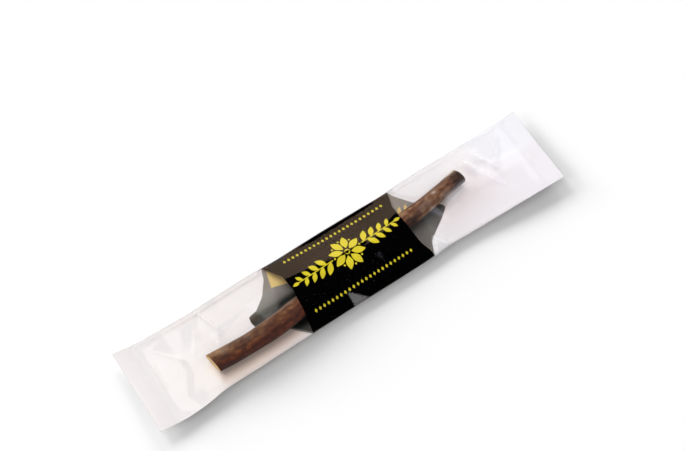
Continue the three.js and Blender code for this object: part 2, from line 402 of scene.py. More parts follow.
def top_wall(x, y):
    """Height of the front wall with its dents and ridges, which fade out at the folds, welds and root."""
    low, high = SIDE_FOLDS(x)
    pole_y, _, radius, _ = tent_pole(x)
    inwards = np.clip(np.minimum(y - low, high - y) / 1.2, 0, 1)
    flat_seal = 1 - ease((np.abs(x) - SEAL_LINE + 4) / 5)
    dents = CRUMPLE(x, y) * inwards * flat_seal
    past_root = np.maximum(ROOT_START - x, x - ROOT_END)
    over_root = np.exp(-(((y - pole_y) / (0.8 * radius)) ** 4)) * (1 - ease((past_root - 0.8) / 2.5))
    return taut_wall(x, y) + dents * (1 - over_root)


def bottom_wall(x, y):
    """Height of the back wall: flat on the surface, over the folded fin seal, and up to the side folds."""
    low, high = SIDE_FOLDS(x)
    low_height, high_height, bend = fold_line(x)
    low_rise = (low_height - bend) * np.clip(1 - (y - low) / LOW_RISE_WIDTH, 0, 1) ** 2
    high_rise = (high_height - bend) * np.clip(1 - (high - y) / HIGH_RISE_WIDTH, 0, 1) ** 2
    fin = FIN_BULGE * ease((FIN_WIDTH / 2 + 1.6 - np.abs(y - SEAM_Y)) / 1.6)
    return low_rise + high_rise + fin


def crimp(x):
    """Fine ribs pressed into the end seals."""
    pressed = ease((np.abs(x) - SEAL_LINE - 0.5) / 0.8)
    return RIB_HEIGHT * pressed * np.sin(2 * np.pi * np.abs(x) / RIB_PITCH)


def tube_point(x, turn, inset=0.0):
    """A point of the film tube at x and at a turn round it. inset moves it inside the tube."""
    low, high = SIDE_FOLDS(x)
    bend = np.maximum(fold_line(x)[2] - inset, 0.02)
    left = low + inset + bend
    right = high - inset - bend
    pole_y = tent_pole(x)[0]
    on_back = np.clip(turn / HALF_WALL, 0, 2)
    on_front = np.clip((turn - FRONT_TURN) / HALF_WALL, 0, 2)
    back_y = np.where(on_back < 1, mix(left, SEAM_Y, on_back), mix(SEAM_Y, right, on_back - 1))
    front_y = np.where(on_front < 1, mix(right, pole_y, on_front), mix(pole_y, left, on_front - 1))
    back = turn < HIGH_FOLD_MIDDLE
    y = np.where(back, back_y, front_y)
    z = np.where(back, bottom_wall(x, y) + inset, top_wall(x, y) - inset)
    for start, middle, sense in ((HIGH_FOLD_TURN, right, 1), (LOW_FOLD_TURN, left, -1)):
        part = (turn - start) / FOLD_SPAN
        bending = (part > 0) & (part < 1)
        angle = np.pi * np.clip(part, 0, 1)
        lower = bottom_wall(x, middle) + inset
        upper = top_wall(x, middle) - inset
        y = np.where(bending, middle + sense * bend * np.sin(angle), y)
        z = np.where(bending, (lower + upper) / 2 - (upper - lower) / 2 * np.cos(angle), z)
    z = z + end_lift(x, y) + crimp(x)
    return np.stack([x + 0 * y, y, z], axis=-1)


# The turns at which the film has points: close together at the fin's two edges and round the folds.
SEAM_TO_FOLD = 16.3
FIN_TURN = HALF_WALL * (FIN_WIDTH / 2) / SEAM_TO_FOLD
FIN_EDGE = np.array([-0.004, 0.0, 0.004])
FIN_SPACE = 0.01
TUBE_TURNS = np.concatenate([
    np.linspace(0, HALF_WALL - FIN_TURN - FIN_SPACE, 14),
    HALF_WALL - FIN_TURN + FIN_EDGE,
    np.linspace(HALF_WALL - FIN_TURN + FIN_SPACE, HALF_WALL + FIN_TURN - FIN_SPACE, 7),
    HALF_WALL + FIN_TURN + FIN_EDGE,
    np.linspace(HALF_WALL + FIN_TURN + FIN_SPACE, HIGH_FOLD_TURN, 14),
    np.linspace(HIGH_FOLD_TURN, FRONT_TURN, 7)[1:],
    np.linspace(FRONT_TURN, LOW_FOLD_TURN, 73)[1:],
    np.linspace(LOW_FOLD_TURN, 1.0, 7)[1:-1],
])


def crease_highlight(x, y):
    """How white the film is painted along its sharp creases, as highlights."""
    result = np.zeros_like(x)
    for x0, y0, x1, y1, width, strength in CREASE_HIGHLIGHTS:
        run, rise = x1 - x0, y1 - y0
        along = np.clip(((x - x0) * run + (y - y0) * rise) / (run**2 + rise**2), 0, 1)
        away = np.hypot(x - mix(x0, x1, along), y - mix(y0, y1, along))
        result = np.maximum(result, strength * np.exp(-((away / width) ** 2)))
    return result


# How milky the film is, as the share of its surface that scatters: the back wall, the welds, and the front
# wall by the +Y fold, past the print's second end, where it also lightens the root's shadow, and towards the
# first end. Below the root's tip it is painted light over the root's shadow, by the print's lower edge a
# painted reflection on one facet, and along the creases painted highlight.
BACK_MILK = 0.93
WELD_MILK = 0.1
FOLD_MILK = 0.06
PAST_PRINT_MILK = 0.13
TIP_SHADOW_FILL_MILK = 0.22
FIRST_END_MILK = 0.02
FACET_REFLECTION_MILK = 0.075


def film_milk_and_painted_light(x, y, back):
    """How milky the film is at each point, with its painted light, reflection and highlights. The back is
    clearer by the +Y fold, so the table shows there.
    """
    off_root = y - tent_pole(x)[0]
    welded = ease((np.abs(x) - SEAL_LINE) / 4.0)
    by_fold = ease((y - SIDE_FOLDS(x)[1] + 2.3) / 1.1) * ease((np.abs(x) - 31) / 2)
    # Past the print's second end the haze also lightens the root's shadow.
    past_print = ease((x - np.interp(y, *np.array(BACK_ENDS[1]).T) + 1) / 2.5)
    past_print = past_print * (1 - np.exp(-((off_root / 3.6) ** 6)))
    # Painted light: haze laid over the root's shadow below its thin tip.
    over_tip_shadow = np.exp(-(((off_root + 5.7) / 1.3) ** 2)) * ease((x - 43) / 6) * ease((64 - x) / 6)
    # Painted reflection on a facet by the print's lower edge.
    facet_reflection = ease((x + 8.3) / 0.5) * ease((-10.3 - y) / 0.4) * ease((-7.3 - 1.14 * (y + 10.4) - x) / 0.7)
    front = np.maximum.reduce([FOLD_MILK * by_fold, PAST_PRINT_MILK * past_print, TIP_SHADOW_FILL_MILK * over_tip_shadow])
    front = front + FIRST_END_MILK * ease((-x - 66) / 8) + crease_highlight(x, y)
    front = np.maximum(front, FACET_REFLECTION_MILK * facet_reflection)
    return np.where(back, BACK_MILK - 0.5 * by_fold * (1 - welded), mix(front, WELD_MILK, welded))


def film_painted_warm_shade(x, y, back):
    """Painted warm shade on the milky back: rosy along the root's lower side and past the print's second end,
    where the root's shade falls.
    """
    width = 4.0 + 3.0 * ease((x - 30) / 10)
    below_root = np.exp(-(((y - tent_pole(x)[0] + 5.5) / width) ** 2))
    along_root = ease((x - ROOT_START + 2) / 4) * (0.6 + 0.4 * ease(-x / 20)) * ease((78 - x) / 20)
    past_print = 0.2 * ease((x - 36) / 12) * ease((5 - y) / 5)
    return (below_root * along_root + past_print) * back


def film_sachet(film):
    """The clear film: one tube of thin film, pressed flat and welded at both ends, and the fin of its back
    seam, folded flat under it."""
    middle = np.linspace(-SEAL_LINE, SEAL_LINE, 210)
    first_weld = -np.linspace(SEAL_LINE, HALF_LENGTH, 46)[:0:-1]
    second_weld = np.linspace(SEAL_LINE, HALF_LENGTH - SHORT_CUT, 46)[1:]
    stations = np.concatenate([first_weld, middle, second_weld])
    x, turn = np.meshgrid(stations, TUBE_TURNS, indexing="ij")
    tube = tube_point(x, turn)
    fin_x, fin_y = np.meshgrid(stations[1:-1], SEAM_Y + np.linspace(-0.5, 0.5, 9) * FIN_WIDTH, indexing="ij")
    fin_z = end_lift(fin_x, fin_y) + crimp(fin_x) + FIN_UNDERSIDE
    fin = np.stack([fin_x, fin_y, fin_z], axis=-1)
    piece = mesh_piece("clear_film", [(tube, True, False), (fin[::-1], False, False)], [film])
    y, back = tube[..., 1], turn < HIGH_FOLD_MIDDLE
    set_attribute(piece, "milk", np.append(film_milk_and_painted_light(x, y, back), np.full(fin_x.size, WELD_MILK)))
    set_attribute(piece, "warmth", np.append(film_painted_warm_shade(x, y, back), np.zeros(fin_x.size)))
    wall = piece.modifiers.new("wall", "SOLIDIFY")
    wall.thickness = FILM * MM
    wall.offset = -1
    return piece


# The print's two ends, as [y, x]: across the front wall, and across the back wall, where they run to points.
FRONT_ENDS = [
    [[-15.6, -27.4], [-12.1, -27.1], [-9.2, -26.8], [-4.4, -26.5], [0.2, -25.8], [8.2, -26.1], [12.5, -28.2],
     [16.8, -29.9]],
    [[-15.6, 30.2], [-12.5, 29.5], [-9.0, 27.9], [-2.8, 26.7], [5.6, 25.9], [9.6, 26.5], [16.8, 29.6]],
]
BACK_ENDS = [
    [[-15.6, -27.6], [-11.8, -31.1], [-9.4, -33.4], [-5.0, -39.0], [-1.8, -44.2], [0.6, -44.8], [3.0, -44.3],
     [3.6, -40.6], [7.1, -35.6], [12.6, -31.4], [16.8, -29.9]],
    [[-15.6, 30.2], [-14.0, 31.2], [-9.8, 33.3], [-7.6, 36.6], [-4.5, 41.5], [-1.8, 45.1], [-0.6, 46.6],
     [1.2, 45.6], [3.8, 42.0], [7.8, 36.2], [12.5, 32.4], [16.8, 29.6]],
]
# How far inside the film the ink lies, its thickness, and about where it ends along the film.
INK_INSET = 0.25
INK = 0.03
PRINT_END_X = (-29.0, 29.0)

# Painted shadow on the print's inner side across the back, as [y, share], by its first end and by its second:
# darkest under the root and along the back seam's step.
NEAR_PAINTED_SHADOW = smooth_curve([
    [-16, 0.2], [-12.5, 0.35], [-6, 0.8], [-2, 0.76], [-0.5, 0.86], [1.0, 1.0], [2.2, 0.86], [3.4, 0.56],
    [4.5, 0.46], [6, 0.36], [9, 0.22], [13, 0.14], [17, 0.1],
])
FAR_PAINTED_SHADOW = smooth_curve([
    [-16, 0.4], [-11, 0.5], [-6.5, 0.55], [-4, 0.63], [-1, 0.7], [2, 0.66], [4, 0.4], [7, 0.2], [10, 0.18],
    [17, 0.15],
])


def print_end(side, turn):
    """How far along the print reaches at each turn round the film, on the first or second end."""
    y = tube_point(np.full_like(turn, PRINT_END_X[side]), turn)[:, 1]
    front = np.interp(y, *np.array(FRONT_ENDS[side]).T)
    back = np.interp(y, *np.array(BACK_ENDS[side]).T)
    return np.where(turn < HIGH_FOLD_MIDDLE, back, front)


def ink_band(ink, backing):
    """The printed layer: a sleeve of ink just inside the film. Its curved ends run to points at the seam."""
    start, end = print_end(0, TUBE_TURNS), print_end(1, TUBE_TURNS)
    along, turn = np.meshgrid(np.linspace(0, 1, 160), TUBE_TURNS, indexing="ij")
    points = tube_point(mix(start, end, along), turn, inset=INK_INSET)
    piece = mesh_piece("ink_band", [(points, True, False)], [ink, backing])
    x, y = points[..., 0], points[..., 1]
    # Painted shadow: the root's and the back seam's step across the back, and a deep shadow in one corner
    # under the print's front.
    corner = ease((-7.5 - y) / 1.0) * ease((x - start - 0.3) / 0.8) * (1 - 0.2 * ease((-10 - y) / 3))
    near_painted_shadow = np.maximum(NEAR_PAINTED_SHADOW(y)[0], corner)
    stain = np.where(x < 0, near_painted_shadow, FAR_PAINTED_SHADOW(y)[0]) * (turn < HIGH_FOLD_MIDDLE)
    set_attribute(piece, "stain", np.clip(stain, 0, 1))
    wall = piece.modifiers.new("ink", "SOLIDIFY")
    wall.thickness = INK * MM
    wall.offset = -1
    wall.material_offset = 1
    return piece


def bark_relief(x, turn):
    """Height of the bark off a smooth round: furrows along the root, finer wrinkles and slow lumps."""
    relief = np.zeros_like(x)
    for place in np.ndindex(x.shape):
        at, a, b = x[place], math.cos(turn[place]), math.sin(turn[place])
        furrow = noise.noise(Vector((at / 16, a * 2.6, b * 2.6)))
        wrinkle = noise.noise(Vector((at / 5 + 40, a * 7, b * 7)))
        lump = noise.noise(Vector((at / 11 + 90, a * 0.9, b * 0.9)))
        lines = FURROW_DEPTH * (0.35 - abs(furrow)) + WRINKLE_DEPTH * (0.3 - abs(wrinkle))
        relief[place] = lines + LUMP_DEPTH * lump
    return relief


def bark_marks(x, y, turn):
    """How far the bark is darkened at each point, partly by painted shade on its -Y side, and how far it is
    paled, by its pale spots and by painted highlight on its +Y side.
    """
    side = np.cos(turn)
    tip = ease((x - ROOT_END + 7) / 4)
    # The -Y side, away from the key, is darker: partly the bark's own colour, partly painted shade.
    low_side = ease((0.4 - side) / 1.1) * (1 - 0.7 * ease((x - 30) / 6))
    high_side = 0.62 * ease((side - 0.1) / 0.5) * ease((x - 40) / 3)
    middle = 0.35 * ease((x + 52) / 8) * ease(-x / 20) * (1 - low_side)
    buried = mix(low_side + high_side + middle, 0.95 * ease((1.05 - side) / 0.5), tip)
    # Painted highlight: the +Y side by the first end and the top of the thin tip are paler.
    rubbed = 0.15 * ease((side - 0.5) / 0.4) * ease((-20 - x) / 10) + 0.8 * ease((side - 0.6) / 0.3) * tip
    for spot_x, spot_y, width, strength in RUBBED_SPOTS:
        away = np.hypot((x - spot_x) / 1.6, y - spot_y) / width
        rubbed = np.maximum(rubbed, strength * np.exp(-(away**2)) * (np.sin(turn) > 0))
    return buried, rubbed


def root_stick(bark, cut_wood):
    """The root: a crooked dried stick, furrowed along its length, with a sawn face at each end."""
    rings, sides = 420, 108
    stations = np.linspace(ROOT_START, ROOT_END, rings)
    x, turn = np.meshgrid(stations, np.arange(sides) / sides * 2 * np.pi, indexing="ij")
    y, radius, rise = ROOT_AXIS(x)
    relief = bark_relief(x, turn)
    oval = 0.012 * np.cos(2 * turn + x / 30) + 0.01 * np.cos(3 * turn - x / 14)
    r = radius * (1 + oval) + relief
    start_cut = np.clip(1 - (x - ROOT_START) / SLANT_REACH, 0, 1)
    end_cut = np.clip(1 - (ROOT_END - x) / SLANT_REACH, 0, 1)
    across, up = r * np.cos(turn), r * np.sin(turn)
    points = np.stack([
        x + across * (START_SLANT * start_cut + END_SLANT * end_cut) + 0.05 * (radius - up) * start_cut**2,
        y + across,
        ROOT_FLOOR + radius + rise + up,
    ], axis=-1)

    # Each sawn face is closed with smaller and smaller rings and one last face in its middle.
    shrink = np.array([0.985, 0.9, 0.7, 0.45, 0.2])
    faces = []
    for ring in (points[0], points[-1]):
        centre = ring.mean(axis=0)
        faces.append(centre + (ring - centre)[None] * shrink[:, None, None])
    whole = np.concatenate([faces[0][::-1], points, faces[1]])
    piece = mesh_piece("root_stick", [(whole, True, True)], [bark, cut_wood])
    first = np.array([polygon.vertices[0] // sides for polygon in piece.data.polygons])
    highest = np.array([max(polygon.vertices) // sides for polygon in piece.data.polygons])
    sawn = (highest <= len(shrink)) | (first >= len(whole) - 1 - len(shrink))
    piece.data.polygons.foreach_set("material_index", sawn.astype(np.int32))

    buried, rubbed = bark_marks(x, y + across, turn)
    ends = np.zeros((len(shrink), sides))
    for name, values in (("relief", relief), ("buried", buried), ("rubbed", rubbed)):
        set_attribute(piece, name, np.concatenate([ends, values, ends]))
    return piece


# ---- Materials ----


def dried_root_bark():
    """The bark of a dug, washed and dried root: dull and furrowed, olive brown by the first end and redder by
    the other, with a mottled grain and pale spots. It is darker on its -Y side, partly painted shade, and
    darker in places along it; painted highlight pales its +Y side by the first end and the top of its thin
    tip, and painted shade and light darken its furrows and pale its ridges."""
    material, tree = new_material("dried_root_bark")
    place = add(tree, "ShaderNodeTexCoord").outputs["Object"]
    along = add(tree, "ShaderNodeSeparateXYZ", {0: place}).outputs["X"]

    # Flecks about 2.4 mm long and 1.6 mm wide, and fibres about 14 mm long and 1.1 mm wide.
    flecked = add(tree, "ShaderNodeMapping", {"Vector": place, "Scale": (420, 640, 640)})
    flecks = add(tree, "ShaderNodeTexNoise", {"Vector": flecked, "Scale": 1.0, "Detail": 4.0})
    drawn_out = add(tree, "ShaderNodeMapping", {"Vector": place, "Scale": (70, 900, 900)})
    fibres = add(tree, "ShaderNodeTexNoise", {"Vector": drawn_out, "Scale": 1.0, "Detail": 3.0})
    grain = add(tree, "ShaderNodeMix", {0: 0.25, 2: flecks, 3: fibres})

    # Painted shade and light: the furrows are darker and the ridges paler.
    relief = add(tree, "ShaderNodeAttribute", attribute_name="relief").outputs["Fac"]
    relief_shade = add(tree, "ShaderNodeMapRange", {"Value": relief, 1: -0.12, 2: 0.16, 3: -0.16, 4: 0.16})
    tone = add(tree, "ShaderNodeMath", {0: grain, 1: relief_shade}, operation="ADD")
    olive = fill_ramp(add(tree, "ShaderNodeValToRGB", {"Fac": tone}), [
        (0.28, "#2A150D"), (0.44, "#4B2C1A"), (0.58, "#654325"), (0.78, "#957040"),
    ])
    red = fill_ramp(add(tree, "ShaderNodeValToRGB", {"Fac": tone}), [
        (0.28, "#361E15"), (0.44, "#613B28"), (0.58, "#7F5A42"), (0.78, "#B5906B"),
    ])
    redder = add(tree, "ShaderNodeMapRange", {"Value": along, 1: -0.055, 2: 0.04})
    skin = add(tree, "ShaderNodeMix", {0: redder, 6: olive, 7: red}, data_type="RGBA")

    # Darkening multiplied in: painted shade on the -Y side and darker bark in places, a warm brown, greyer by
    # the thin tip.
    buried = add(tree, "ShaderNodeAttribute", attribute_name="buried").outputs["Fac"]
    tip = add(tree, "ShaderNodeMapRange", {"Value": along, 1: 0.015, 2: 0.03})
    darkening_tint = add(tree, "ShaderNodeMix", {0: tip, 6: colour("#BC733F"), 7: colour("#5C4842")}, data_type="RGBA")
    shade = add(tree, "ShaderNodeMix", {0: buried, 6: WHITE, 7: darkening_tint}, data_type="RGBA")
    dark = add(tree, "ShaderNodeMix", {0: 1.0, 6: skin, 7: shade}, data_type="RGBA", blend_type="MULTIPLY")

    # Pale spots, and painted highlight on the +Y side.
    rubbed = add(tree, "ShaderNodeAttribute", attribute_name="rubbed").outputs["Fac"]
    base = add(tree, "ShaderNodeMix", {0: rubbed, 6: dark, 7: colour("#D2BEAF")}, data_type="RGBA")
    bump = add(tree, "ShaderNodeBump", {"Strength": 0.5, "Distance": 0.12 * MM, "Height": grain})
    shader = add(tree, "ShaderNodeBsdfPrincipled", {"Base Color": base, "Roughness": 0.75, "Normal": bump})
    add(tree, "ShaderNodeOutputMaterial", {"Surface": shader})
    return material


def sawn_root_wood():
    """Licorice wood sawn across: dry, dull and straw yellow, mottled by its cut fibres in patches about 0.7 mm
    wide."""
    material, tree = new_material("sawn_root_wood")
    place = add(tree, "ShaderNodeTexCoord").outputs["Object"]
    grain = add(tree, "ShaderNodeTexNoise", {"Vector": place, "Scale": 1400.0, "Detail": 4.0})
    base = fill_ramp(add(tree, "ShaderNodeValToRGB", {"Fac": grain}), [(0.3, "#B58545"), (0.7, "#E3C078")])
    bump = add(tree, "ShaderNodeBump", {"Strength": 0.5, "Distance": 0.1 * MM, "Height": grain})
    shader = add(tree, "ShaderNodeBsdfPrincipled", {"Base Color": base, "Roughness": 0.85, "Normal": bump})
    add(tree, "ShaderNodeOutputMaterial", {"Surface": shader})
    return material


def clear_wrapping_film():
    """Cast polypropylene film, 0.04 mm: clear and glossy. It mirrors a fortieth straight on and nearly all at
    a glancing angle. Its haze carries painted light: warmer by the first end than by the second, and a rosy
    painted warm shade beside the root."""
    material, tree = new_material("clear_wrapping_film")
    place = add(tree, "ShaderNodeTexCoord").outputs["Object"]
    along = add(tree, "ShaderNodeSeparateXYZ", {0: place}).outputs["X"]
    # Painted light colour: the haze is warmer by the first end and cooler by the second.
    cool = add(tree, "ShaderNodeMapRange", {"Value": along, 1: -0.05, 2: 0.08})
    pale = add(tree, "ShaderNodeMix", {0: cool, 6: colour("#F5F1F1"), 7: colour("#F9F8FC")}, data_type="RGBA")
    warm_shade_hue = add(tree, "ShaderNodeMix", {0: cool, 6: colour("#EEDACD"), 7: colour("#E8D6D8")}, data_type="RGBA")
    # Painted warm shade beside the root.
    warmth = add(tree, "ShaderNodeAttribute", attribute_name="warmth").outputs["Fac"]
    hue = add(tree, "ShaderNodeMix", {0: warmth, 6: pale, 7: warm_shade_hue}, data_type="RGBA")

    # Haze, with painted light, a painted reflection and painted highlights laid in by place.
    milk = add(tree, "ShaderNodeAttribute", attribute_name="milk").outputs["Fac"]
    clear = add(tree, "ShaderNodeBsdfTransparent", {"Color": (0.995, 0.995, 0.995, 1)})
    haze = add(tree, "ShaderNodeBsdfDiffuse", {"Color": hue})
    body = add(tree, "ShaderNodeMixShader", {0: milk, 1: clear, 2: haze})

    slope = add(tree, "ShaderNodeLayerWeight", {"Blend": 0.5}).outputs["Facing"]
    rim = add(tree, "ShaderNodeMath", {0: slope, 1: 5.0}, operation="POWER")
    mirror = add(tree, "ShaderNodeMath", {0: rim, 1: 0.97, 2: 0.025}, operation="MULTIPLY_ADD")
    gloss = add(tree, "ShaderNodeBsdfGlossy", {"Roughness": 0.1})
    surface = add(tree, "ShaderNodeMixShader", {0: mirror, 1: body, 2: gloss})
    add(tree, "ShaderNodeOutputMaterial", {"Surface": surface})
    return material


def black_gravure_ink():
    """Gravure ink laid on the film's inner face: dense black, with no gloss but that of the film over it."""
    material, tree = new_material("black_gravure_ink")
    shader = add(tree, "ShaderNodeBsdfPrincipled", {"Base Color": colour("#020202"), "Roughness": 0.5})
    shader.inputs["Specular IOR Level"].default_value = 0.0
    add(tree, "ShaderNodeOutputMaterial", {"Surface": shader})
    return material


def ink_backing():
    """The inner side of gravure print, bare ink and primer: flat warm grey, clouded about every 8 mm. Painted
    shadow darkens it under the root, along the back seam's step and in one corner."""
    material, tree = new_material("ink_backing")
    place = add(tree, "ShaderNodeTexCoord").outputs["Object"]
    cloud = add(tree, "ShaderNodeTexNoise", {"Vector": place, "Scale": 120.0, "Detail": 3.0})
    base = fill_ramp(add(tree, "ShaderNodeValToRGB", {"Fac": cloud}), [(0.3, "#8F8883"), (0.7, "#A39C96")])
    # Painted shadow darkens the grey towards near black.
    stain = add(tree, "ShaderNodeAttribute", attribute_name="stain").outputs["Fac"]
    dark = add(tree, "ShaderNodeMix", {0: stain, 6: base, 7: colour("#151917")}, data_type="RGBA")
    shader = add(tree, "ShaderNodeBsdfPrincipled", {"Base Color": dark, "Roughness": 0.45})
    shader.inputs["Specular IOR Level"].default_value = 0.15
    add(tree, "ShaderNodeOutputMaterial", {"Surface": shader})
    return material


def gold_ink(name, code):
    """Yellow gravure ink over the black: flat and opaque, with hardly any gloss of its own. It is bright from
    outside and paler where its inner side shows."""
    material, tree = new_material(name)
    shader = add(tree, "ShaderNodeBsdfPrincipled", {"Base Color": colour(code), "Roughness": 0.5})
    shader.inputs["Specular IOR Level"].default_value = 0.1
    add(tree, "ShaderNodeOutputMaterial", {"Surface": shader})
    return material


# ---- Ornament: a rosette between two sprigs, with a row of lozenges along each side ----

# A sprig: its leaves' size, number, places, turn off the stem and loss of size from one to the next, then its
# stem and the leaf at its tip.
LEAF_LENGTH, LEAF_WIDTH = 5.2, 2.4
LEAVES = 8
FIRST_LEAF, LEAF_STEP = 7.8, 1.85
LEAF_TURN = 0.92
LEAF_LOSS = 0.055
STEM_LENGTH, STEM_WIDTH, STEM_MIDDLE = 15.8, 0.4, 14.7
TIP_LEAF, TIP_LEAF_SCALE = 22.3, (0.6, 0.6, 1)

# The rosette: its petals' size and number, how far out they start, its disc, and its place on the band.
PETAL_LENGTH, PETAL_WIDTH = 5.7, 2.9
PETALS = 8
PETAL_OUT = 1.6
DISC_RADIUS = 1.1
ROSETTE_AT = (0.3, 3.0, 0)
ROSETTE_TURN = 0.03

# The lozenges: their size, how far out they stand between the petals, and the two rows' starts and steps.
LOZENGE = 0.7
LOZENGE_OUT = 5.8
LOZENGES = 24
LOZENGE_STRETCH = (1.15, 1.5, 1)
LOZENGE_ROWS = [((-21.5, 13.4, 0), (1.96, -0.03, 0)), ((-22.5, -9.8, 0), (1.96, 0.03, 0))]

# On the back: the plain block's size, place and turn, and the small sprig's place and scale.
BLOCK_LENGTH, BLOCK_WIDTH = 10.5, 7.8
BLOCK_AT, BLOCK_TURN = (-24.6, 10.6, 0), -0.28
SMALL_SPRIG_AT, SMALL_SPRIG_SCALE = (16.5, 6.6, 0), (0.8, 0.8, 1)

# The gap between the yellow and the black, and the heights from which the shapes are pressed on.
INK_GAP = 0.09
ABOVE, BELOW, BETWEEN_WALLS = 20.0, -20.0, 2.5


def metres(*lengths):
    """Millimetres as metres, for a node's inputs."""
    return tuple(length * MM for length in lengths)


def leaf_shape(tree, length, width):
    """A flat pointed leaf along +X from the origin, fine enough to follow the film."""
    grid = add(tree, "GeometryNodeMeshGrid", {
        "Size X": 1.0, "Size Y": 1.0, "Vertices X": 11, "Vertices Y": 5,
    })
    place = add(tree, "GeometryNodeInputPosition")
    axes = add(tree, "ShaderNodeSeparateXYZ", {0: place}).outputs
    shifted = add(tree, "ShaderNodeMath", {0: axes["X"], 1: 0.5}, operation="ADD")
    along = add(tree, "ShaderNodeMath", {0: shifted, 1: length}, operation="MULTIPLY")
    bend = add(tree, "ShaderNodeMath", {0: shifted, 1: math.pi * 0.98}, operation="MULTIPLY")
    swell = add(tree, "ShaderNodeMath", {0: bend}, operation="SINE")
    full = add(tree, "ShaderNodeMath", {0: axes["Y"], 1: width}, operation="MULTIPLY")
    across = add(tree, "ShaderNodeMath", {0: full, 1: swell}, operation="MULTIPLY")
    moved = add(tree, "ShaderNodeCombineXYZ", {0: along, 1: across})
    return add(tree, "GeometryNodeSetPosition", {"Geometry": grid, "Position": moved})


def lozenge_shape(tree):
    """A small square standing on its corner."""
    square = add(tree, "GeometryNodeMeshGrid", {
        "Size X": LOZENGE * MM, "Size Y": LOZENGE * MM, "Vertices X": 2, "Vertices Y": 2,
    })
    return add(tree, "GeometryNodeTransform", {"Geometry": square, "Rotation": (0, 0, math.pi / 4)})


def sprig_shape(tree, leaf):
    """One sprig along +X: leaves in turn on either side of a stem, each smaller than the last."""
    number = add(tree, "GeometryNodeInputIndex")
    line = add(tree, "GeometryNodeMeshLine", {
        "Count": LEAVES, "Start Location": metres(FIRST_LEAF, 0, 0), "Offset": metres(LEAF_STEP, 0, 0),
    }, mode="OFFSET")
    odd = add(tree, "ShaderNodeMath", {0: number, 1: 2.0}, operation="MODULO")
    side = add(tree, "ShaderNodeMath", {0: odd, 1: -2 * LEAF_TURN, 2: LEAF_TURN}, operation="MULTIPLY_ADD")
    turned = add(tree, "ShaderNodeCombineXYZ", {2: side})
    smaller = add(tree, "ShaderNodeMath", {0: number, 1: -LEAF_LOSS, 2: 1.0}, operation="MULTIPLY_ADD")
    leaves = add(tree, "GeometryNodeInstanceOnPoints", {
        "Points": line, "Instance": leaf, "Rotation": turned, "Scale": smaller,
    })
    stem = add(tree, "GeometryNodeMeshGrid", {
        "Size X": STEM_LENGTH * MM, "Size Y": STEM_WIDTH * MM, "Vertices X": 40, "Vertices Y": 2,
    })
    stem_on = add(tree, "GeometryNodeTransform", {"Geometry": stem, "Translation": metres(STEM_MIDDLE, 0, 0)})
    tip = add(tree, "GeometryNodeTransform", {
        "Geometry": leaf, "Translation": metres(TIP_LEAF, 0, 0), "Scale": TIP_LEAF_SCALE,
    })
    whole = add(tree, "GeometryNodeJoinGeometry", {0: [leaves, stem_on, tip]})
    return add(tree, "GeometryNodeRealizeInstances", {0: whole})


def rosette_shape(tree, petal, lozenge, sprig):
    """The rosette with its two sprigs: petals round a disc, and a small lozenge between each two petals."""
    number = add(tree, "GeometryNodeInputIndex")
    hub = add(tree, "GeometryNodeMeshLine", {"Count": PETALS, "Offset": (0, 0, 0)}, mode="OFFSET")
    share = 2 * math.pi / PETALS
    spin = add(tree, "ShaderNodeMath", {0: number, 1: share, 2: share / 2}, operation="MULTIPLY_ADD")
    spun = add(tree, "ShaderNodeCombineXYZ", {2: spin})
    petal = add(tree, "GeometryNodeTransform", {"Geometry": petal, "Translation": metres(PETAL_OUT, 0, 0)})
    petals = add(tree, "GeometryNodeInstanceOnPoints", {"Points": hub, "Instance": petal, "Rotation": spun})
    disc = add(tree, "GeometryNodeMeshCircle", {"Vertices": 20, "Radius": DISC_RADIUS * MM}, fill_type="NGON")
    between = add(tree, "ShaderNodeMath", {0: number, 1: share}, operation="MULTIPLY")
    turned = add(tree, "ShaderNodeCombineXYZ", {2: between})
    lozenge_out = add(tree, "GeometryNodeTransform", {
        "Geometry": lozenge, "Translation": metres(LOZENGE_OUT, 0, 0),
    })
    lozenges = add(tree, "GeometryNodeInstanceOnPoints", {
        "Points": hub, "Instance": lozenge_out, "Rotation": turned,
    })
    other = add(tree, "GeometryNodeTransform", {"Geometry": sprig, "Rotation": (0, 0, math.pi)})
    whole = add(tree, "GeometryNodeJoinGeometry", {0: [petals, disc, lozenges, sprig, other]})
    return add(tree, "GeometryNodeTransform", {
        "Geometry": whole, "Translation": metres(*ROSETTE_AT), "Rotation": (0, 0, ROSETTE_TURN),
    })


def lozenge_row(tree, lozenge, start, step):
    """A straight row of lozenges from start, with a step between them."""
    points = add(tree, "GeometryNodeMeshLine", {
        "Count": LOZENGES, "Start Location": metres(*start), "Offset": metres(*step),
    }, mode="OFFSET")
    return add(tree, "GeometryNodeInstanceOnPoints", {
        "Points": points, "Instance": lozenge, "Scale": LOZENGE_STRETCH,
    })


def back_shapes(tree, sprig):
    """The print on the back: a plain block by one end and a small sprig by the other."""
    block = add(tree, "GeometryNodeMeshGrid", {
        "Size X": BLOCK_LENGTH * MM, "Size Y": BLOCK_WIDTH * MM, "Vertices X": 22, "Vertices Y": 16,
    })
    block_on = add(tree, "GeometryNodeTransform", {
        "Geometry": block, "Translation": metres(*BLOCK_AT), "Rotation": (0, 0, BLOCK_TURN),
    })
    small = add(tree, "GeometryNodeTransform", {
        "Geometry": sprig, "Translation": metres(*SMALL_SPRIG_AT), "Scale": SMALL_SPRIG_SCALE,
    })
    return add(tree, "GeometryNodeJoinGeometry", {0: [block_on, small]})


